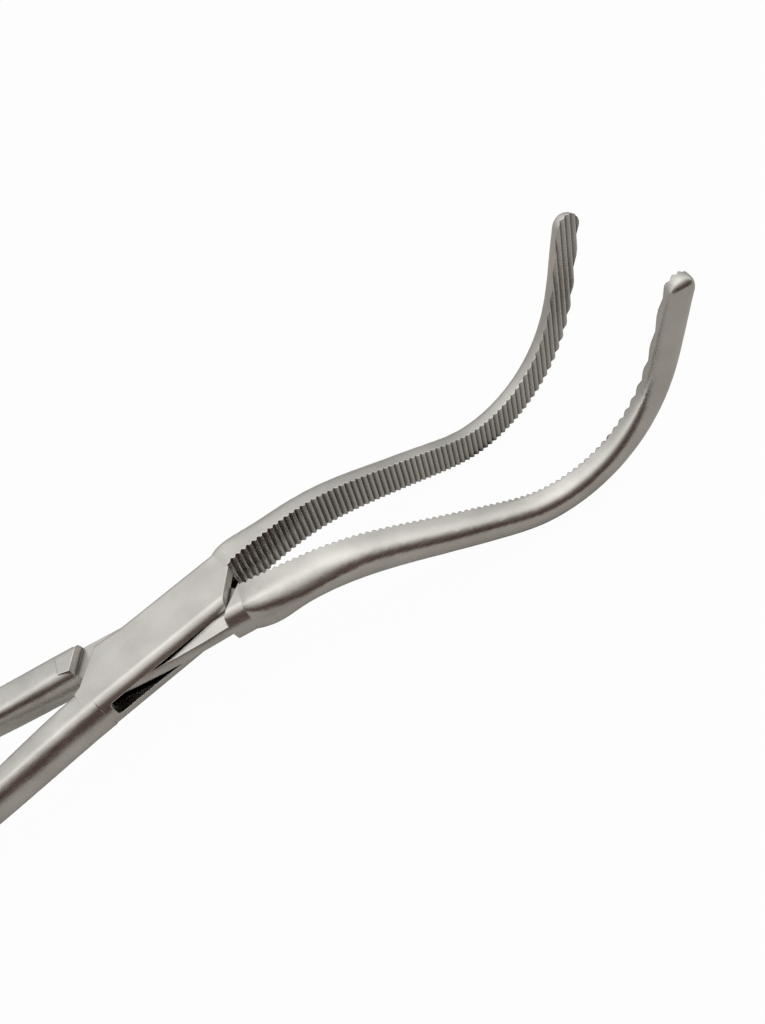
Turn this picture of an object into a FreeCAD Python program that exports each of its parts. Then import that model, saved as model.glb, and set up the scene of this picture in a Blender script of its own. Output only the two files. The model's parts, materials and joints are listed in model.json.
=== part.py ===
import FreeCAD, Part
import math
import os

# Kidney pedicle clamp: two one-piece forged halves that cross in a box lock, and the pin
# that holds them. All sizes are in millimetres and degrees.
#
# Half frame: origin on the pin's axis, +X towards the jaw tips, +Z up out of the box
# lock's broad face, y = 0 the plane on which the two halves mirror each other. The box
# half has its jaw on the +Y side and its finger ring on the -Y side.

# Turns away from the middle plane, as the clamp lies
box_half_turn = 8.6
through_half_turn = 7.0
jaw_turn = 10.2

# Box lock
box_thickness = 6.6
box_reach_jaw_side = 5.3
box_reach_ring_side = 4.9
box_edge_round = 1.2
box_flank_crown = 0.4
shoulder_flank_x = 8.3
shoulder_inner_x = 12.8
wall_rear_flank_x = 9.6
wall_rear_inner_x = 15.0
wall_rear_length = 1.2
wall_flare_start_x = 5.5
wall_flare_turn = 7.0
slot_height = 2.9
slot_corner_round = 0.7
slot_end_flank_x = 13.2
slot_end_inner_x = 15.6
shoulder_gap = 0.6
wall_room_rear_slope = 0.43
tongue_bulge_front_x = 10.5
tongue_bulge_rear_x = 13.5
tongue_bulge = 0.4
tongue_slope_start_y = 3.2
tongue_slope = 12.0
slot_side_gap = 0.06
slot_end_gap = 0.55

# Lock pin
pin_diameter = 3.6
pin_running_gap = 0.04

# Jaw centre line, in the plane of the jaw's flat face
jaw_start_x = 13.6
jaw_start_z = 0.1
jaw_lead_length = 6.4
dip_radius = 48.0
dip_angle = 20.6
slope_length = 19.5
rise_radius = 21.5
rise_angle = 81.8
tip_radius = 31.7
tip_angle = 12.4
tip_straight_length = 9.0

# Jaw section along the centre line: half a superellipse behind the flat face
jaw_root_width = 6.8
jaw_middle_width = 5.3
jaw_tip_width = 4.35
jaw_root_depth = 5.2
jaw_middle_depth = 4.45
jaw_tip_depth = 2.55
box_squareness = 7.0
jaw_squareness = 2.4
jaw_middle_share = 0.4
jaw_root_share = 0.09
jaw_edge_flat = 0.55
jaw_face_stock = 4.5

# Gripping face
face_setback = 0.22
face_bow = 3.96
face_bow_length = 75.0
tooth_pitch = 1.05
tooth_depth = 0.42
tooth_crest = 0.22
tooth_lean = 4.5

# Shank stations behind the pin: distance, middle, height, width, thickness and squareness
shank_root = (15.0, 2.46, 0.0, 4.86, 6.56, 5.6)
box_shank_neck = (30.0, 3.0, -0.4, 4.1, 6.4, 4.6)
through_shank_neck = (30.0, 2.9, -0.45, 5.1, 5.5, 7.0)
shank_waist = (58.0, 4.3, -0.2, 3.8, 5.2, 2.4)
shank_ratchet = (102.0, 9.1, 0.0, 4.2, 4.6, 2.4)
shank_end = (115.5, 11.2, 0.0, 4.3, 4.4, 2.2)
shank_flare = (121.0, 12.2, 0.0, 6.6, 4.2, 2.2)

# Finger ring: an oval of four arcs, measured on the wire's middle
ring_centre_x = 137.0
ring_centre_y = 16.6
ring_length = 32.0
ring_width = 27.6
ring_wire_diameter = 4.3
ring_end_radius = 12.2

# Ratchet arm on each shank
ratchet_arm_length = 7.0
ratchet_arm_thickness = 2.1
ratchet_reach_past_middle = 2.3
ratchet_tooth_count = 4
ratchet_tooth_pitch = 1.15
ratchet_tooth_depth = 0.6
ratchet_gap = 0.08

# How closely the lofts follow their curves, and how far joined blanks run into each other
jaw_station_step = 6.0
quarter_points = 7
fine_steps = 240
seam_overlap = 0.5
seam_inset = 0.03

UP = FreeCAD.Vector(0, 0, 1)
ACROSS = FreeCAD.Vector(0, 1, 0)
ORIGIN = FreeCAD.Vector(0, 0, 0)


def vec(x, y, z=0.0):
    return FreeCAD.Vector(x, y, z)


def polygon_wire(points):
    return Part.makePolygon(points + [points[0]])


def prism(points, z_low, z_high):
    """A plan outline raised from z_low to z_high."""
    wire = polygon_wire([vec(x, y, z_low) for x, y in points])
    return Part.Face(wire).extrude(vec(0, 0, z_high - z_low))


def mirrored(shape):
    return shape.mirror(ORIGIN, ACROSS)


def blend(start, end, share):
    """Smooth change from start to end while share runs from 0 to 1."""
    share = min(max(share, 0.0), 1.0)
    return start + (end - start) * share * share * (3.0 - 2.0 * share)


def quarter_section(half_width, depth, squareness):
    """A quarter superellipse, from (half_width, 0) to (0, depth), as evenly spaced points."""
    fine = [(half_width, 0.0)]
    lengths = [0.0]
    for step in range(1, fine_steps + 1):
        angle = 0.5 * math.pi * step / fine_steps
        across = half_width * max(math.cos(angle), 0.0) ** (2.0 / squareness)
        back = depth * math.sin(angle) ** (2.0 / squareness)
        lengths.append(lengths[-1] + math.hypot(across - fine[-1][0], back - fine[-1][1]))
        fine.append((across, back))
    points = []
    for number in range(quarter_points):
        wanted = lengths[-1] * number / (quarter_points - 1)
        index = 1
        while index < fine_steps and lengths[index] < wanted:
            index += 1
        share = (wanted - lengths[index - 1]) / (lengths[index] - lengths[index - 1])
        start, end = fine[index - 1], fine[index]
        points.append((start[0] + (end[0] - start[0]) * share, start[1] + (end[1] - start[1]) * share))
    points[-1] = (0.0, depth)
    return points


def quarter_edge(points, start_tangent, end_tangent):
    """A smooth edge through a quarter section's points, on the same knots for each."""
    curve = Part.BSplineCurve()
    knots = [float(number) for number in range(len(points))]
    curve.interpolate(
        Points=points, Parameters=knots, InitialTangent=start_tangent, FinalTangent=end_tangent
    )
    return curve.toShape()


# The jaw's centre line


def centre_line_steps():
    """Each stretch of the centre line as its length and its turn in radians."""
    return [
        (jaw_lead_length, 0.0),
        (dip_radius * math.radians(dip_angle), -math.radians(dip_angle)),
        (slope_length, 0.0),
        (rise_radius * math.radians(rise_angle), math.radians(rise_angle)),
        (tip_radius * math.radians(tip_angle), math.radians(tip_angle)),
        (tip_straight_length, 0.0),
    ]


def centre_line_length():
    return sum(length for length, turn in centre_line_steps())


def centre_line_at(distance):
    """Place (x, z) and heading of the jaw's centre line at a distance from its start."""
    x, z, heading = jaw_start_x, jaw_start_z, 0.0
    left = distance
    for length, turn in centre_line_steps():
        run = min(left, length)
        bend = turn * run / length
        chord = run if abs(bend) < 1e-9 else 2.0 * (run / bend) * math.sin(bend / 2.0)
        x += chord * math.cos(heading + bend / 2.0)
        z += chord * math.sin(heading + bend / 2.0)
        heading += bend
        left -= run
        if left <= 0.0:
            break
    return x, z, heading


def jaw_width_at(share):
    if share < jaw_middle_share:
        return blend(jaw_root_width, jaw_middle_width, share / jaw_middle_share)
    rest = (share - jaw_middle_share) / (1.0 - jaw_middle_share)
    return jaw_middle_width + (jaw_tip_width - jaw_middle_width) * rest


def jaw_depth_at(share):
    if share < jaw_middle_share:
        rest = share / jaw_middle_share
        return jaw_root_depth + (jaw_middle_depth - jaw_root_depth) * rest
    rest = (share - jaw_middle_share) / (1.0 - jaw_middle_share)
    return jaw_middle_depth + (jaw_tip_depth - jaw_middle_depth) * rest


def along_face(x, z):
    """Distance along the jaw square to the teeth, which lean by tooth_lean."""
    lean = math.radians(tooth_lean)
    return x * math.cos(lean) - z * math.sin(lean)


def face_height(along):
    """The bowed face's y at a distance along the jaw: the tips meet first."""
    run = max(along - jaw_start_x, 0.0)
    return face_setback - face_bow * (run / face_bow_length) ** 2


# The jaw


def jaw_profile(base, side, width, depth, squareness):
    """Edges of half a jaw section, from its middle in front of the face to its apex."""
    front = base - ACROSS * jaw_face_stock
    corner = front + side * (width / 2.0)
    quarter = quarter_section(width / 2.0, depth - jaw_edge_flat, squareness)
    points = [base + side * across + ACROSS * (back + jaw_edge_flat) for across, back in quarter]
    return [
        Part.makeLine(front, corner),
        Part.makeLine(corner, points[0]),
        quarter_edge(points, ACROSS, -side),
    ]


def jaw_section(place, width, depth, squareness):
    """Closed wire of a jaw section, with stock in front of the face."""
    x, z, heading = place
    side = vec(-math.sin(heading), 0, math.cos(heading))
    base = vec(x, face_height(along_face(x, z)), z)
    upper = jaw_profile(base, side, width, depth, squareness)
    lower = jaw_profile(base, -side, width, depth, squareness)
    return Part.Wire(Part.__sortEdges__(upper + lower))


def jaw_blank(splay):
    """The tapered, curved bar that the jaw is cut from, with its root inside the box lock."""
    total = centre_line_length()
    buried_x = shoulder_inner_x - seam_overlap
    root_width = box_thickness - 2.0 * seam_inset
    root_depth = box_reach_jaw_side - face_setback - seam_inset
    root_depth -= buried_x * math.tan(math.radians(splay))
    sections = [jaw_section((buried_x, 0.0, 0.0), root_width, root_depth, box_squareness)]
    count = int(round(total / jaw_station_step))
    for number in range(1, count + 1):
        share = number / count
        place = centre_line_at(total * share)
        square = blend(box_squareness, jaw_squareness, share / jaw_root_share)
        sections.append(jaw_section(place, jaw_width_at(share), jaw_depth_at(share), square))
    return Part.makeLoft(sections, True, False)


def jaw_tip_cap():
    """The rounded end: half of the last section turned about its middle."""
    x, z, heading = centre_line_at(centre_line_length())
    side = vec(-math.sin(heading), 0, math.cos(heading))
    base = vec(x, face_height(along_face(x, z)), z)
    edges = jaw_profile(base, side, jaw_tip_width, jaw_tip_depth, jaw_squareness)
    apex = base + ACROSS * jaw_tip_depth
    edges.append(Part.makeLine(apex, base - ACROSS * jaw_face_stock))
    profile = Part.Wire(Part.__sortEdges__(edges))
    return Part.Face(profile).revolve(base, ACROSS, 180)


def tooth_cutter():
    """All that lies in front of the bowed, toothed face, as one comb-edged prism."""
    total = centre_line_length()
    x, z, heading = centre_line_at(total)
    end = along_face(x, z) + jaw_tip_width
    count = int(math.ceil((end - jaw_start_x) / tooth_pitch))
    mouth = tooth_pitch - tooth_crest
    far = -4.0 * jaw_face_stock
    outline = [(0.0, far), (0.0, face_setback)]
    for number in range(count):
        groove = jaw_start_x + number * tooth_pitch
        for offset, depth in ((-mouth / 2.0, 0.0), (0.0, tooth_depth), (mouth / 2.0, 0.0)):
            outline.append((groove + offset, face_height(groove + offset) + depth))
    last = jaw_start_x + count * tooth_pitch
    outline.append((last, face_height(last)))
    outline.append((last, far))
    lean = math.radians(tooth_lean)
    along = vec(math.cos(lean), 0, -math.sin(lean))
    grooves = vec(math.sin(lean), 0, math.cos(lean))
    reach = 2.0 * total
    points = [along * a + ACROSS * y - grooves * (reach / 2.0) for a, y in outline]
    return Part.Face(polygon_wire(points)).extrude(grooves * reach)


def jaw(half_turn):
    """The whole toothed jaw, turned out from its half by what the half's own turn leaves."""
    splay = jaw_turn - half_turn
    toothed = jaw_blank(splay).fuse(jaw_tip_cap()).cut(tooth_cutter())
    toothed.rotate(ORIGIN, UP, splay)
    return toothed


# The box lock


def box_bar(rear_x, front_x):
    """The box lock's section, flat above and below and crowned on its flanks, along X."""
    half = box_thickness / 2.0
    jaw_side = box_reach_jaw_side
    ring_side = -box_reach_ring_side
    crown = box_flank_crown
    corners = [
        vec(rear_x, jaw_side - crown, -half),
        vec(rear_x, jaw_side - crown, half),
        vec(rear_x, ring_side + crown, half),
        vec(rear_x, ring_side + crown, -half),
    ]
    edges = [
        Part.Arc(corners[0], vec(rear_x, jaw_side, 0), corners[1]).toShape(),
        Part.makeLine(corners[1], corners[2]),
        Part.Arc(corners[2], vec(rear_x, ring_side, 0), corners[3]).toShape(),
        Part.makeLine(corners[3], corners[0]),
    ]
    bar = Part.Face(Part.Wire(edges)).extrude(vec(front_x - rear_x, 0, 0))
    ridges = [edge for edge in bar.Edges if edge.BoundBox.YLength < 1e-6 and edge.BoundBox.ZLength < 1e-6]
    return bar.makeFillet(box_edge_round, ridges)


def wall_outline():
    """Plan of the box half's lock, with the shoulder and the rear wall cut back."""
    rear = -wall_rear_inner_x - wall_rear_length
    outside = 2.0 * box_reach_jaw_side
    slope = (shoulder_inner_x - shoulder_flank_x) / (face_setback + box_reach_ring_side)
    rear_slope = (wall_rear_inner_x - wall_rear_flank_x) / box_reach_jaw_side
    return [
        (shoulder_inner_x - slope * (face_setback + outside), -outside),
        (shoulder_inner_x, face_setback),
        (shoulder_inner_x, outside),
        (-wall_rear_inner_x + rear_slope * outside, outside),
        (-wall_rear_inner_x, 0.0),
        (rear, -seam_overlap),
        (rear, -outside),
    ]


def slot_cutter():
    """The slot that the other half's tongue passes through, round-cornered at its rear end."""
    half = slot_height / 2.0
    reach = 3.0 * box_reach_jaw_side
    rear_slope = (slot_end_inner_x - slot_end_flank_x) / box_reach_ring_side
    front_slope = (shoulder_inner_x - shoulder_flank_x) / box_reach_ring_side
    rear_far = slot_end_flank_x - rear_slope * (reach - box_reach_ring_side)
    outline = [
        (-rear_far, -reach),
        (reach + shoulder_inner_x, -reach),
        (shoulder_inner_x, face_setback),
        (shoulder_inner_x - front_slope * reach, reach),
        (-reach - slot_end_inner_x, reach),
        (-slot_end_inner_x, 0.0),
    ]
    slot = prism(outline, -half, half)
    ends = []
    for edge in slot.Edges:
        box = edge.BoundBox
        if box.ZLength < 1e-6 and box.XMax < -slot_end_flank_x + reach and box.YMax < 1e-6:
            if box.XLength < box.YLength:
                ends.append(edge)
    return slot.makeFillet(slot_corner_round, ends)


def make_box_half():
    rear = -wall_rear_inner_x - wall_rear_length
    flare = box_bar(rear, -wall_flare_start_x)
    flare.rotate(vec(-wall_flare_start_x, 0), UP, -wall_flare_turn)
    block = box_bar(rear, shoulder_inner_x).fuse(flare)
    block = block.common(prism(wall_outline(), -box_thickness, box_thickness))
    body = block.fuse(jaw(box_half_turn)).fuse(shank(box_shank_neck).fuse(finger_ring()).fuse(ratchet_arm()))
    body = body.cut(slot_cutter()).cut(pin_bore(pin_diameter / 2.0))
    return body.removeSplitter()


# The half that passes through the box


def tongue_outline():
    """Plan of the pass-through half's lock, which leaves running gaps in the slot."""
    rear_slope = (slot_end_inner_x - slot_end_flank_x) / box_reach_ring_side
    front_slope = (shoulder_inner_x - shoulder_flank_x) / box_reach_ring_side
    front = shoulder_inner_x - slot_end_gap
    rear = slot_end_inner_x - slot_end_gap
    far = 2.0 * box_reach_jaw_side
    behind = wall_rear_inner_x + 2.0 * wall_rear_length
    return [
        (-rear + rear_slope * far, -far),
        (shoulder_inner_x + shoulder_gap, -far),
        (shoulder_inner_x + shoulder_gap, -face_setback),
        (front, 0.0),
        (front - front_slope * far, far),
        (-behind, far),
        (-behind, seam_overlap),
        (-rear, 0.0),
    ]


def tongue_bow():
    """The tongue's jaw-side flank, bowed out in plan."""
    inner = slot_height / 2.0 - slot_side_gap
    end_y = -box_reach_jaw_side + box_flank_crown / 2.0
    front = vec(tongue_bulge_front_x, end_y, -inner)
    rear = vec(-tongue_bulge_rear_x, end_y, -inner)
    middle_x = (tongue_bulge_front_x - tongue_bulge_rear_x) / 2.0
    crest = vec(middle_x, -box_reach_jaw_side - tongue_bulge, -inner)
    edges = [Part.Arc(front, crest, rear).toShape(), Part.makeLine(rear, front)]
    return Part.Face(Part.Wire(edges)).extrude(UP * (2.0 * inner))


def tongue_slope_cutter():
    """The wedge above the tongue that thins it towards its jaw-side flank."""
    inner = slot_height / 2.0 - slot_side_gap
    far = 2.0 * box_reach_jaw_side
    drop = (far - tongue_slope_start_y) * math.tan(math.radians(tongue_slope))
    rear = -2.0 * slot_end_inner_x
    outline = [
        vec(rear, -tongue_slope_start_y, inner),
        vec(rear, -far, inner - drop),
        vec(rear, -far, box_thickness),
        vec(rear, -tongue_slope_start_y, box_thickness),
    ]
    return Part.Face(polygon_wire(outline)).extrude(vec(4.0 * slot_end_inner_x, 0, 0))


def wall_room():
    """The room for the box walls between the shoulders, above and below the tongue."""
    half = 2.0 * box_thickness
    inner = slot_height / 2.0 - slot_side_gap
    far = 2.0 * box_reach_jaw_side
    slope = (shoulder_inner_x - shoulder_flank_x) / (face_setback + box_reach_ring_side)
    front = shoulder_inner_x + shoulder_gap
    rear_slope = wall_room_rear_slope
    rear = slot_end_inner_x
    outline = [
        (front - slope * (face_setback + far), -far),
        (front, face_setback),
        (front, far),
        (-rear + rear_slope * far, far),
        (-rear - rear_slope * far, -far),
    ]
    upper = prism(outline, inner, half).fuse(prism(outline, 0.0, half).common(tongue_slope_cutter()))
    return upper.fuse(upper.mirror(ORIGIN, UP))


def make_pass_through_half():
    front = shoulder_inner_x
    behind = wall_rear_inner_x + 2.0 * wall_rear_length
    block = mirrored(box_bar(-behind, front)).fuse(tongue_bow())
    block = block.common(prism(tongue_outline(), -box_thickness, box_thickness))
    arm = ratchet_arm()
    arm.rotate(ORIGIN, vec(1, 0, 0), 180)
    handle = mirrored(shank(through_shank_neck).fuse(finger_ring())).fuse(arm)
    body = block.fuse(mirrored(jaw(through_half_turn))).fuse(handle).cut(wall_room())
    body = body.cut(pin_bore(pin_diameter / 2.0 + pin_running_gap))
    return body.removeSplitter()


# Shank, ring and ratchet, on the -Y side


def shank_section(distance, middle, height, width, thickness, squareness):
    """Closed superellipse across the shank."""
    quarter = quarter_section(width / 2.0, thickness / 2.0, squareness)
    edges = []
    for y_sign, z_sign in ((1, 1), (-1, 1), (-1, -1), (1, -1)):
        points = [
            vec(-distance, y_sign * across - middle, height + z_sign * up) for across, up in quarter
        ]
        edges.append(quarter_edge(points, UP * z_sign, ACROSS * -y_sign))
    return Part.Wire(Part.__sortEdges__(edges))


def shank(neck):
    buried = (shank_root[0] - seam_overlap,) + shank_root[1:]
    stations = [buried, shank_root, neck, shank_waist, shank_ratchet, shank_end, shank_flare]
    return Part.makeLoft([shank_section(*station) for station in stations], True, False)


def finger_ring():
    """An oval ring from four tangent arcs, each turned about its own centre."""
    half_length = ring_length / 2.0
    half_width = ring_width / 2.0
    end_offset = half_length - ring_end_radius
    side_radius = (half_width ** 2 + end_offset ** 2 - ring_end_radius ** 2) / (
        2.0 * (half_width - ring_end_radius)
    )
    side_offset = side_radius - half_width
    spread = math.degrees(math.atan2(side_offset, end_offset))
    arcs = [
        (end_offset, 0.0, ring_end_radius, -spread, 2.0 * spread),
        (-end_offset, 0.0, ring_end_radius, 180.0 - spread, 2.0 * spread),
        (0.0, -side_offset, side_radius, spread, 180.0 - 2.0 * spread),
        (0.0, side_offset, side_radius, 180.0 + spread, 180.0 - 2.0 * spread),
    ]
    ring = None
    for x, y, radius, start, sweep in arcs:
        angle = math.radians(start)
        outward = vec(math.cos(angle), math.sin(angle))
        centre = vec(x, y)
        circle = Part.Circle(centre + outward * radius, UP.cross(outward), ring_wire_diameter / 2.0)
        piece = Part.Face(Part.Wire([circle.toShape()])).revolve(centre, UP, sweep)
        ring = piece if ring is None else ring.fuse(piece)
    ring.translate(vec(-ring_centre_x, -ring_centre_y))
    return ring


def ratchet_arm():
    """The arm that crosses the middle, with teeth on its underside."""
    distance, middle = shank_ratchet[:2]
    low = -middle
    high = ratchet_reach_past_middle
    front = -distance + ratchet_arm_length / 2.0
    back = -distance - ratchet_arm_length / 2.0
    tooth_root = ratchet_gap + ratchet_tooth_depth
    y = high - ratchet_tooth_count * ratchet_tooth_pitch
    outline = [vec(back, low, ratchet_gap + ratchet_arm_thickness), vec(back, low, tooth_root)]
    outline.append(vec(back, y, tooth_root))
    for number in range(ratchet_tooth_count):
        outline.append(vec(back, y, ratchet_gap))
        y += ratchet_tooth_pitch
        outline.append(vec(back, y, tooth_root))
    outline.append(vec(back, high, ratchet_gap + ratchet_arm_thickness))
    return Part.Face(polygon_wire(outline)).extrude(vec(front - back, 0, 0))


# The pin


def pin_bore(radius):
    return Part.makeCylinder(radius, 2.0 * box_thickness, vec(0, 0, -box_thickness))


def make_lock_pin():
    return Part.makeCylinder(pin_diameter / 2.0, box_thickness, vec(0, 0, -box_thickness / 2.0))


# Laying the clamp down


def rest_pitch():
    """Nose-up turn, in degrees, at which the jaws' dips and the rings touch the table."""
    before = centre_line_steps()[:3]
    x, z, heading = centre_line_at(sum(length for length, turn in before))
    centre_x = (x - rise_radius * math.sin(heading)) * math.cos(math.radians(jaw_turn))
    centre_z = z + rise_radius * math.cos(heading)
    ring_turn = math.radians((box_half_turn + through_half_turn) / 2.0)
    rear_x = -ring_centre_x * math.cos(ring_turn) + ring_centre_y * math.sin(ring_turn)
    rear_x -= ring_length / 2.0
    depth = rise_radius + jaw_middle_width / 2.0 - ring_wire_diameter / 2.0
    reach = math.hypot(centre_x - rear_x, centre_z)
    return math.degrees(math.asin(depth / reach) - math.atan2(centre_z, centre_x - rear_x))


def lay_down(parts):
    """Turns the parts to their resting tilt and puts the origin under their middle."""
    pitch = rest_pitch()
    for shape in parts.values():
        shape.rotate(ORIGIN, ACROSS, -pitch)
    box = FreeCAD.BoundBox()
    for shape in parts.values():
        box.add(shape.optimalBoundingBox(False, False))
    offset = vec(-(box.XMin + box.XMax) / 2.0, -(box.YMin + box.YMax) / 2.0, -box.ZMin)
    for shape in parts.values():
        shape.translate(offset)
    return pitch, offset


def main():
    box_half = make_box_half()
    pin = make_lock_pin()
    through_half = make_pass_through_half()
    for shape in (box_half, pin):
        shape.rotate(ORIGIN, UP, box_half_turn)
    through_half.rotate(ORIGIN, UP, -through_half_turn)
    parts = {"box_half": box_half, "pass_through_half": through_half, "lock_pin": pin}
    pitch, offset = lay_down(parts)
    print("rest pitch", round(pitch, 4), "pivot at", [round(v, 4) for v in offset])
    os.makedirs("parts", exist_ok=True)
    for name, shape in parts.items():
        print(name, "solids", len(shape.Solids), "valid", shape.isValid(), "volume", round(shape.Volume, 1))
        shape.exportStep("parts/" + name + ".step")


main()
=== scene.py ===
"""Looks of a kidney pedicle clamp: satin steel halves that cross in a box lock."""

import json
import logging
import math
from dataclasses import dataclass, field
from enum import Enum

import bpy
from mathutils import Matrix, Vector

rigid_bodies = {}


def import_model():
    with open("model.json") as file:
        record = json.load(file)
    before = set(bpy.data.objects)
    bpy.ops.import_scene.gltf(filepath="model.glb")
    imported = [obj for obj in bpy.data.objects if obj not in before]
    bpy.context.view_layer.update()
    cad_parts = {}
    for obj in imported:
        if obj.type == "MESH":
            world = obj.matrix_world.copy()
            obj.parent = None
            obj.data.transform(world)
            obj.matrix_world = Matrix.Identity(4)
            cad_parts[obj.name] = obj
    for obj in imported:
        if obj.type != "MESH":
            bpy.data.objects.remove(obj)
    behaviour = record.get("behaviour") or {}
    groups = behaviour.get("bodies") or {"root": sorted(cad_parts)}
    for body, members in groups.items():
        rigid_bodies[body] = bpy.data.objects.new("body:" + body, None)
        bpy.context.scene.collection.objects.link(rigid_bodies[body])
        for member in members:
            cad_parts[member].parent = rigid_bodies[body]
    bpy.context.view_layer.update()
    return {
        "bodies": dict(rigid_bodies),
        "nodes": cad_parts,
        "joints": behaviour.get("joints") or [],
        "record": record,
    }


MM = 0.001
PHOTO_HEIGHT_PX = 1024
LONG_SENSOR_MM = 36.0
ROW_SIDE = Vector((0.0, 1.0, 0.0))
WHITE = "#ffffff"

log = logging.getLogger("clamp")
Colour = tuple[float, float, float, float]
Socket = bpy.types.NodeSocket
Tree = bpy.types.NodeTree


class Piece(Enum):
    """The clamp's solids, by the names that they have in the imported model."""

    BOX_HALF = "box_half"
    PASS_THROUGH_HALF = "pass_through_half"
    LOCK_PIN = "lock_pin"


def linear(hex_code: str) -> Colour:
    """Turns an sRGB hex colour to linear light.

    Args:
        hex_code: A colour written as "#rrggbb".

    Returns:
        Red, green, blue and an alpha of 1.
    """
    channels = []
    for start in (1, 3, 5):
        value = int(hex_code[start : start + 2], 16) / 255.0
        channels.append(value / 12.92 if value <= 0.04045 else ((value + 0.055) / 1.055) ** 2.4)
    return (channels[0], channels[1], channels[2], 1.0)


def add_node(tree: Tree, kind: str, links: dict | None = None, **settings) -> bpy.types.Node:
    """Adds one shader node.

    Args:
        tree: The node tree to add to.
        kind: Blender's type name of the node.
        links: Input names or numbers, each with the output socket or the value it gets.
        settings: Attributes of the node itself.

    Returns:
        The new node.
    """
    node = tree.nodes.new(kind)
    for name, value in settings.items():
        setattr(node, name, value)
    for name, source in (links or {}).items():
        if isinstance(source, Socket):
            tree.links.new(source, node.inputs[name])
        else:
            node.inputs[name].default_value = source
    return node


@dataclass(frozen=True)
class Lock:
    """Where the box lock sits in a piece's own coordinates.

    Its height runs along the hinge, and its length towards the jaws, both from the
    middle of the lock.
    """

    middle: Vector
    height: Vector
    length: Vector

    @classmethod
    def of_piece(cls, piece: bpy.types.Object, hinge: dict) -> "Lock":
        """Finds the lock in a piece.

        Args:
            hinge: The hinge joint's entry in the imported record.

        Returns:
            The lock in the piece's own coordinates.
        """
        to_piece = piece.matrix_world.inverted()
        turn = to_piece.to_3x3()
        height = Vector(hinge["axis"]).normalized()
        length = ROW_SIDE.cross(height)
        return cls(to_piece @ Vector(hinge["pos_m"]), turn @ height, turn @ length)


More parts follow.
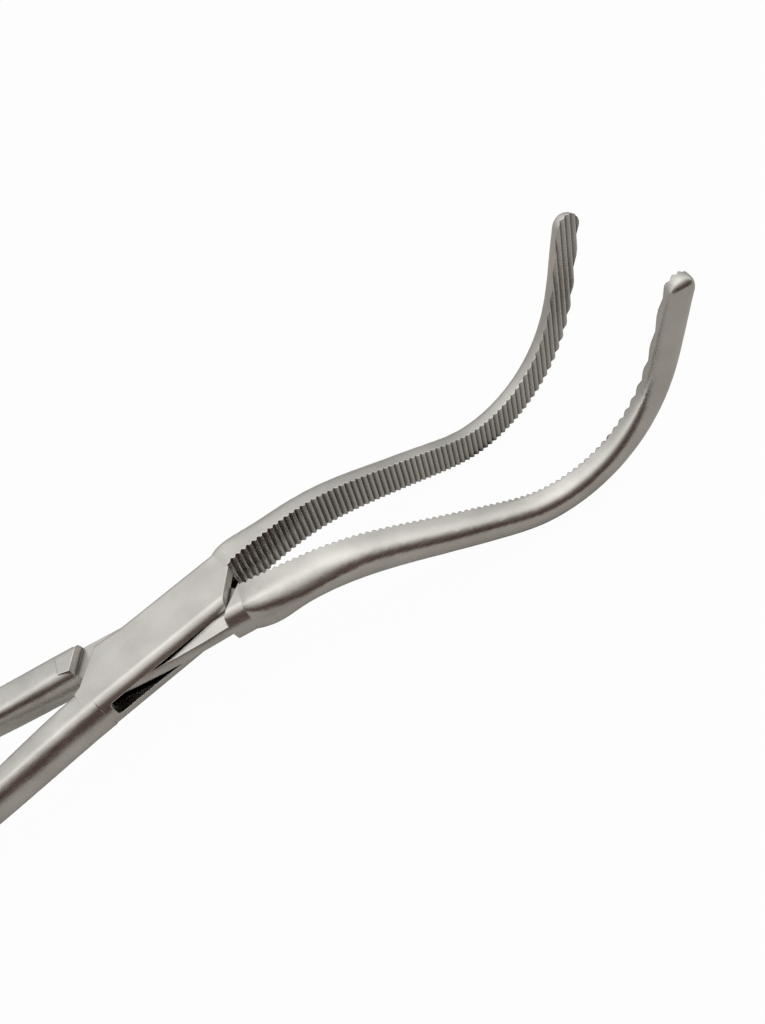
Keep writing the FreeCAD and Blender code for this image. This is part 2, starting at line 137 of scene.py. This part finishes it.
@dataclass(frozen=True)
class SatinSteel:
    """Martensitic stainless steel, forged, ground and then satin finished with a fine belt.

    The belt leaves short parallel scratches, so highlights are soft and a little drawn
    out. It leaves the flanks of lock and shanks slightly crowned, so they darken towards
    the top. The ridges are lighter than the flats, partly from wear and partly as a
    painted highlight, and the slot and the grooves are darkened with painted shade. The
    pin's ends are ground in one pass with the lock's faces, so their rim doesn't show.
    """

    name: str
    body: str = "#cecbc6"
    dull: str = "#bebbb6"
    # Ridges: lighter tint, partly wear and partly painted highlight.
    wear_and_highlight: str = "#dfdcd8"
    # Crevices: the painted shade that they darken towards.
    painted_crevice_shade: str = "#24221f"
    roughness_low: float = 0.19
    roughness_high: float = 0.3
    anisotropy: float = 0.25
    # A satin belt's scratches are about 0.03 mm wide. That is far below a pixel, so they
    # are drawn at 0.24 mm, and twelve times as long.
    mark_width_mm: float = 0.24
    mark_squeeze: tuple[float, float, float] = (1.0, 12.0, 12.0)
    mark_depth_mm: float = 0.012
    mark_strength: float = 0.4
    mark_detail: float = 3.0
    mark_range: tuple[float, float] = (0.3, 0.7)
    # Uneven pressure on the belt shows as faint clouds, a fingertip's width apart.
    cloud_size_mm: float = 7.0
    cloud_detail: float = 4.0
    cloud_range: tuple[float, float] = (0.35, 0.65)
    # A ridge shows wear and a painted highlight where its rounded normal turns away from the flat one.
    edge_radius_mm: float = 0.25
    edge_samples: int = 6
    edge_agreement: tuple[float, float] = (0.995, 0.9)
    # Below the first open share a crevice starts to get painted shade, at the second it is darkest.
    crevice_mm: float = 1.4
    crevice_samples: int = 16
    crevice_open_share: tuple[float, float] = (0.86, 0.4)
    # The crown grows over the flank's height and fades out along the jaw's root.
    crown: float = 0.75
    crown_height_mm: tuple[float, float] = (-3.3, 3.3)
    crown_fade_mm: tuple[float, float] = (20.0, 30.0)
    crown_sideways: tuple[float, float] = (0.5, 0.95)
    pin_spot_mm: float = 2.3

    def belt_marks(self, tree: Tree, place: Socket) -> Socket:
        """Draws the belt's short scratches, which run along the clamp.

        Args:
            tree: The node tree to add to.
            place: The spot's coordinates.

        Returns:
            The socket that gives the marks' height, about 0.3 to 0.7.
        """
        squeezed = add_node(
            tree, "ShaderNodeVectorMath", {0: place, 1: Vector(self.mark_squeeze)}, operation="MULTIPLY"
        ).outputs[0]
        scale = 1.0 / (self.mark_width_mm * MM * max(self.mark_squeeze))
        return add_node(
            tree, "ShaderNodeTexNoise", {"Vector": squeezed, "Scale": scale, "Detail": self.mark_detail}
        ).outputs[0]

    def cloudy_sheen(self, tree: Tree, place: Socket) -> Socket:
        """Draws how bright the belt left each spot.

        Args:
            tree: The node tree to add to.
            place: The spot's coordinates.

        Returns:
            The socket that gives the brightness, 0 to 1.
        """
        clouds = add_node(
            tree,
            "ShaderNodeTexNoise",
            {"Vector": place, "Scale": 1.0 / (self.cloud_size_mm * MM), "Detail": self.cloud_detail},
        ).outputs[0]
        low, high = self.cloud_range
        return add_node(tree, "ShaderNodeMapRange", {0: clouds, 1: low, 2: high, 3: 0.0, 4: 1.0}).outputs[0]

    def rounded_normal(self, tree: Tree, flat: Socket, from_middle: Socket, lock: Lock) -> Socket:
        """Softens the edges, except around the pin's ends, which are ground flush.

        Args:
            tree: The node tree to add to.
            flat: The surface's own normal.
            from_middle: The spot's place from the middle of the lock.
            lock: Where the lock sits.

        Returns:
            The socket that gives the softened normal.
        """
        beside = add_node(
            tree, "ShaderNodeVectorMath", {0: from_middle, 1: lock.height}, operation="CROSS_PRODUCT"
        ).outputs[0]
        beside = add_node(tree, "ShaderNodeVectorMath", {0: beside}, operation="LENGTH").outputs["Value"]
        off_pin = add_node(
            tree, "ShaderNodeMath", {0: beside, 1: self.pin_spot_mm * MM}, operation="GREATER_THAN"
        ).outputs[0]
        rounded = add_node(
            tree, "ShaderNodeBevel", {"Radius": self.edge_radius_mm * MM}, samples=self.edge_samples
        ).outputs[0]
        return add_node(
            tree, "ShaderNodeMix", {0: off_pin, 4: flat, 5: rounded}, data_type="VECTOR"
        ).outputs[1]

    def wear_and_highlight_edge(self, tree: Tree, flat: Socket, rounded: Socket) -> Socket:
        """Finds the ridges, which are lighter from wear and a painted highlight.

        Args:
            tree: The node tree to add to.
            flat: The surface's own normal.
            rounded: The normal with softened edges.

        Returns:
            The socket that says how much the spot is a ridge, 0 to 1.
        """
        agreement = add_node(
            tree, "ShaderNodeVectorMath", {0: rounded, 1: flat}, operation="DOT_PRODUCT"
        ).outputs["Value"]
        start, full = self.edge_agreement
        return add_node(
            tree, "ShaderNodeMapRange", {0: agreement, 1: start, 2: full, 3: 0.0, 4: 1.0}
        ).outputs[0]

    def crevice(self, tree: Tree) -> Socket:
        """Finds the crevices, where shade is painted into the colour.

        Args:
            tree: The node tree to add to.

        Returns:
            The socket that says how much the spot is a crevice, 0 to 1.
        """
        open_share = add_node(
            tree,
            "ShaderNodeAmbientOcclusion",
            {"Distance": self.crevice_mm * MM},
            samples=self.crevice_samples,
        ).outputs["AO"]
        start, full = self.crevice_open_share
        return add_node(
            tree, "ShaderNodeMapRange", {0: open_share, 1: start, 2: full, 3: 0.0, 4: 1.0}
        ).outputs[0]

    def steel_colour(self, tree: Tree, clouds: Socket, edge: Socket, crevice: Socket) -> Socket:
        """Mixes the steel's colour from cloudy sheen, ridges lighter from wear and painted highlight, and
        painted shade in crevices.

        Args:
            tree: The node tree to add to.
            clouds: How bright the belt left the spot, 0 to 1.
            edge: How much the spot is a ridge, 0 to 1.
            crevice: How much the spot is a crevice, 0 to 1.

        Returns:
            The socket that gives the colour.
        """
        colour = add_node(
            tree, "ShaderNodeMix", {0: clouds, 6: linear(self.dull), 7: linear(self.body)}, data_type="RGBA"
        ).outputs[2]
        # Ridges get the lighter tint (wear and painted highlight), crevices the painted shade.
        for share, tint in ((edge, self.wear_and_highlight), (crevice, self.painted_crevice_shade)):
            colour = add_node(
                tree, "ShaderNodeMix", {0: share, 6: colour, 7: linear(tint)}, data_type="RGBA"
            ).outputs[2]
        return colour

    def crowned(self, tree: Tree, normal: Socket, from_middle: Socket, lock: Lock) -> Socket:
        """Leans the flanks of lock and shanks upwards, more towards their top edge.

        Args:
            tree: The node tree to add to.
            normal: The surface normal to lean.
            from_middle: The spot's place from the middle of the lock.
            lock: Where the lock sits.

        Returns:
            The socket that gives the leaning normal.
        """
        high, ahead = (
            add_node(
                tree, "ShaderNodeVectorMath", {0: from_middle, 1: direction}, operation="DOT_PRODUCT"
            ).outputs["Value"]
            for direction in (lock.height, lock.length)
        )
        low, top = (edge * MM for edge in self.crown_height_mm)
        lean = add_node(
            tree, "ShaderNodeMapRange", {0: high, 1: low, 2: top, 3: 0.0, 4: self.crown}
        ).outputs[0]
        start, end = (edge * MM for edge in self.crown_fade_mm)
        behind = add_node(
            tree, "ShaderNodeMapRange", {0: ahead, 1: start, 2: end, 3: 1.0, 4: 0.0}
        ).outputs[0]
        across = lock.height.cross(lock.length)
        sideways = add_node(
            tree, "ShaderNodeVectorMath", {0: normal, 1: across}, operation="DOT_PRODUCT"
        ).outputs["Value"]
        sideways = add_node(tree, "ShaderNodeMath", {0: sideways}, operation="ABSOLUTE").outputs[0]
        least, full = self.crown_sideways
        flank = add_node(
            tree, "ShaderNodeMapRange", {0: sideways, 1: least, 2: full, 3: 0.0, 4: 1.0}
        ).outputs[0]
        for share in (behind, flank):
            lean = add_node(tree, "ShaderNodeMath", {0: lean, 1: share}, operation="MULTIPLY").outputs[0]
        push = add_node(
            tree, "ShaderNodeVectorMath", {0: lock.height, "Scale": lean}, operation="SCALE"
        ).outputs[0]
        leaning = add_node(tree, "ShaderNodeVectorMath", {0: normal, 1: push}, operation="ADD").outputs[0]
        return add_node(tree, "ShaderNodeVectorMath", {0: leaning}, operation="NORMALIZE").outputs[0]

    def build(self, lock: Lock) -> bpy.types.Material:
        """Makes the material with its grain, cloudy sheen, ridges lighter from wear and painted highlight,
        and painted shade in crevices.

        Args:
            lock: Where the lock sits in the piece.

        Returns:
            The finished material.
        """
        material = bpy.data.materials.new(self.name)
        material.use_nodes = True
        tree = material.node_tree
        tree.nodes.clear()
        place = add_node(tree, "ShaderNodeTexCoord").outputs["Object"]
        flat = add_node(tree, "ShaderNodeNewGeometry").outputs["Normal"]
        from_middle = add_node(
            tree, "ShaderNodeVectorMath", {0: place, 1: lock.middle}, operation="SUBTRACT"
        ).outputs[0]
        marks = self.belt_marks(tree, place)
        rounded = self.rounded_normal(tree, flat, from_middle, lock)
        colour = self.steel_colour(
            tree, self.cloudy_sheen(tree, place), self.wear_and_highlight_edge(tree, flat, rounded), self.crevice(tree)
        )
        low, high = self.mark_range
        roughness = add_node(
            tree,
            "ShaderNodeMapRange",
            {0: marks, 1: low, 2: high, 3: self.roughness_low, 4: self.roughness_high},
        ).outputs[0]
        scratched = add_node(
            tree,
            "ShaderNodeBump",
            {
                "Strength": self.mark_strength,
                "Distance": self.mark_depth_mm * MM,
                "Height": marks,
                "Normal": self.crowned(tree, rounded, from_middle, lock),
            },
        ).outputs[0]
        around = add_node(tree, "ShaderNodeTangent", direction_type="RADIAL", axis="X").outputs[0]
        shader = add_node(
            tree,
            "ShaderNodeBsdfPrincipled",
            {
                "Base Color": colour,
                "Metallic": 1.0,
                "Roughness": roughness,
                "Anisotropic": self.anisotropy,
                "Tangent": around,
                "Normal": scratched,
            },
        )
        add_node(tree, "ShaderNodeOutputMaterial", {"Surface": shader.outputs[0]})
        return material


@dataclass
class SteelPart:
    """A solid of the clamp that gets one steel finish all over."""

    piece: Piece
    finish: SatinSteel

    def dress(self, frame: dict, hinge: dict) -> bpy.types.Object:
        """Gives the part its finish.

        Args:
            hinge: The hinge joint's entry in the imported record.

        Returns:
            The dressed object.
        """
        solid = frame["nodes"][self.piece.value]
        solid.data.materials.clear()
        solid.data.materials.append(self.finish.build(Lock.of_piece(solid, hinge)))
        return solid


class ForgedHalf(SteelPart):
    """One forged half of the clamp, finger ring to jaw tip."""


class LockPin(SteelPart):
    """The pin through the box lock, pressed in and ground flush."""


@dataclass
class PhotoCamera:
    """The camera, placed from the box lock's hinge.

    Its place and directions are in the clamp's own frame: origin on the hinge at mid
    thickness, first axis towards the jaw tips, third along the hinge.
    """

    place_mm: Vector = field(default_factory=lambda: Vector((17.02, -93.13, 92.69)))
    forward: Vector = field(default_factory=lambda: Vector((0.0947, 0.6295, -0.7712)))
    up: Vector = field(default_factory=lambda: Vector((0.5525, 0.6112, 0.5667)))
    focal_px: float = 847.0
    principal_y_px: float = 600.0
    nearest_mm: float = 5.0
    farthest_mm: float = 20000.0

    def build(self, hinge: dict) -> bpy.types.Object:
        """Makes the camera and sets it as the scene's.

        Args:
            hinge: The hinge joint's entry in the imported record.

        Returns:
            The camera object.
        """
        third = Vector(hinge["axis"]).normalized()
        first = ROW_SIDE.cross(third)
        turn = Matrix((first, ROW_SIDE, third)).transposed()
        back = -(turn @ self.forward).normalized()
        right = (turn @ self.up).cross(back).normalized()
        up = back.cross(right)
        data = bpy.data.cameras.new("photo_camera")
        data.sensor_width = LONG_SENSOR_MM
        data.lens = LONG_SENSOR_MM * self.focal_px / PHOTO_HEIGHT_PX
        data.shift_y = (self.principal_y_px - PHOTO_HEIGHT_PX / 2.0) / PHOTO_HEIGHT_PX
        data.clip_start = self.nearest_mm * MM
        data.clip_end = self.farthest_mm * MM
        camera = bpy.data.objects.new("photo_camera", data)
        matrix = Matrix((right, up, back)).transposed().to_4x4()
        matrix.translation = Vector(hinge["pos_m"]) + turn @ self.place_mm * MM
        camera.matrix_world = matrix
        bpy.context.scene.collection.objects.link(camera)
        bpy.context.scene.camera = camera
        return camera


@dataclass
class Studio:
    """A pale table in a long room, brightest overhead and dark on the camera's side.

    The room's light alone is the soft light on the clamp. It runs over an arch from the
    horizon on the camera's side, over the ceiling, to the horizon on the far side, and
    it is dimmer towards the clamp's ends.
    """

    table_size_mm: float = 16000.0
    table_colour: str = "#b9b6b1"
    table_white_share: float = 0.97
    mirrored_white_share: float = 0.1
    backdrop_white_share: float = 0.96
    mirrored_backdrop_share: float = 0.0
    brightest: float = 1.75
    ends_brightness: float = 1.3
    ends_start: float = 0.1
    ends_full: float = 0.75
    # Each step is a share of the half turn over the arch, and the light's colour there.
    arch: tuple[tuple[float, str], ...] = (
        (0.0, "#43342f"),
        (0.13, "#43342f"),
        (0.24, "#69615d"),
        (0.33, "#b3b1ae"),
        (0.42, "#eaeae9"),
        (0.5, "#efefee"),
        (0.58, "#e6e6e5"),
        (0.7, "#cfcfce"),
        (0.86, "#b6b6b5"),
        (1.0, "#a2a1a0"),
    )

    @staticmethod
    def seen_white(tree: Tree, camera_share: float, mirrored_share: float) -> Socket:
        """Works out how much of a background is plain white for the ray that looks at it.

        Metal and glass see the table's white in a smaller share, so that their reflections
        keep its shadow, and none of the room's, whose own light is what they mirror.

        Args:
            tree: The node tree to add to.
            camera_share: The share of white for the camera.
            mirrored_share: The share of white in reflections and through glass.

        Returns:
            The socket that gives the share.
        """
        rays = add_node(tree, "ShaderNodeLightPath").outputs
        mirrored = add_node(
            tree,
            "ShaderNodeMath",
            {0: rays["Is Glossy Ray"], 1: rays["Is Transmission Ray"]},
            operation="MAXIMUM",
        ).outputs[0]
        mirrored = add_node(
            tree, "ShaderNodeMath", {0: mirrored, 1: mirrored_share}, operation="MULTIPLY"
        ).outputs[0]
        return add_node(
            tree,
            "ShaderNodeMath",
            {0: rays["Is Camera Ray"], 1: camera_share, 2: mirrored},
            operation="MULTIPLY_ADD",
        ).outputs[0]

    def build_table(self) -> bpy.types.Object:
        """Makes the matt painted table, which keeps the clamp's soft shadow.

        Returns:
            The table object.
        """
        half = self.table_size_mm * MM / 2.0
        mesh = bpy.data.meshes.new("table")
        corners = [(-half, -half, 0), (half, -half, 0), (half, half, 0), (-half, half, 0)]
        mesh.from_pydata(corners, [], [(0, 1, 2, 3)])
        table = bpy.data.objects.new("table", mesh)
        bpy.context.scene.collection.objects.link(table)
        material = bpy.data.materials.new("pale_table")
        material.use_nodes = True
        tree = material.node_tree
        tree.nodes.clear()
        share = self.seen_white(tree, self.table_white_share, self.mirrored_white_share)
        lit = add_node(tree, "ShaderNodeBsdfDiffuse", {"Color": linear(self.table_colour)}).outputs[0]
        white = add_node(tree, "ShaderNodeEmission", {"Color": linear(WHITE), "Strength": 1.0}).outputs[0]
        both = add_node(tree, "ShaderNodeMixShader", {0: share, 1: lit, 2: white}).outputs[0]
        add_node(tree, "ShaderNodeOutputMaterial", {"Surface": both})
        mesh.materials.append(material)
        return table

    def arch_colour(self, tree: Tree, parts: dict) -> Socket:
        """Spreads the arch's colours over the room.

        Args:
            tree: The node tree to add to.
            parts: The X, Y and Z parts of the direction that is looked in.

        Returns:
            The socket that gives the colour.
        """
        away = add_node(tree, "ShaderNodeMath", {0: parts["Y"], 1: -1.0}, operation="MULTIPLY").outputs[0]
        angle = add_node(tree, "ShaderNodeMath", {0: parts["Z"], 1: away}, operation="ARCTAN2").outputs[0]
        along = add_node(tree, "ShaderNodeMath", {0: angle, 1: math.pi}, operation="DIVIDE").outputs[0]
        ramp = add_node(tree, "ShaderNodeValToRGB", {0: along})
        steps = ramp.color_ramp.elements
        while len(steps) < len(self.arch):
            steps.new(1.0)
        for step, (place, colour) in zip(steps, self.arch):
            step.position = place
            step.color = linear(colour)
        return ramp.outputs[0]

    def build_room(self) -> None:
        """Fills the room with the arch's soft light. The camera sees its walls as white."""
        world = bpy.data.worlds.new("room")
        world.use_nodes = True
        tree = world.node_tree
        tree.nodes.clear()
        aim = add_node(tree, "ShaderNodeTexCoord").outputs["Generated"]
        parts = add_node(tree, "ShaderNodeSeparateXYZ", {0: aim}).outputs
        endwise = add_node(tree, "ShaderNodeMath", {0: parts["X"]}, operation="ABSOLUTE").outputs[0]
        strength = add_node(
            tree,
            "ShaderNodeMapRange",
            {0: endwise, 1: self.ends_start, 2: self.ends_full, 3: self.brightest, 4: self.ends_brightness},
        ).outputs[0]
        glow = add_node(
            tree, "ShaderNodeBackground", {"Color": self.arch_colour(tree, parts), "Strength": strength}
        ).outputs[0]
        white = add_node(tree, "ShaderNodeBackground", {"Color": linear(WHITE), "Strength": 1.0}).outputs[0]
        share = self.seen_white(tree, self.backdrop_white_share, self.mirrored_backdrop_share)
        both = add_node(tree, "ShaderNodeMixShader", {0: share, 1: glow, 2: white}).outputs[0]
        add_node(tree, "ShaderNodeOutputWorld", {"Surface": both})
        bpy.context.scene.world = world

    def build(self) -> None:
        """Sets up the table and the room."""
        bpy.context.scene.view_settings.view_transform = "Standard"
        self.build_table()
        self.build_room()


def main() -> None:
    """Dresses the clamp, sets up the studio and reports each piece."""
    logging.basicConfig(level=logging.INFO, format="%(name)s: %(message)s")
    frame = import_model()
    hinge = next(joint for joint in frame["joints"] if joint["name"] == "box_lock_hinge")
    parts = [
        ForgedHalf(Piece.BOX_HALF, SatinSteel("satin_box_half_steel")),
        ForgedHalf(Piece.PASS_THROUGH_HALF, SatinSteel("satin_pass_through_half_steel")),
        LockPin(Piece.LOCK_PIN, SatinSteel("satin_pin_steel")),
    ]
    for part in parts:
        solid = part.dress(frame, hinge)
        log.info("%s: %d faces", solid.name, len(solid.data.polygons))
    PhotoCamera().build(hinge)
    Studio().build()


if __name__ == "__main__":
    main()
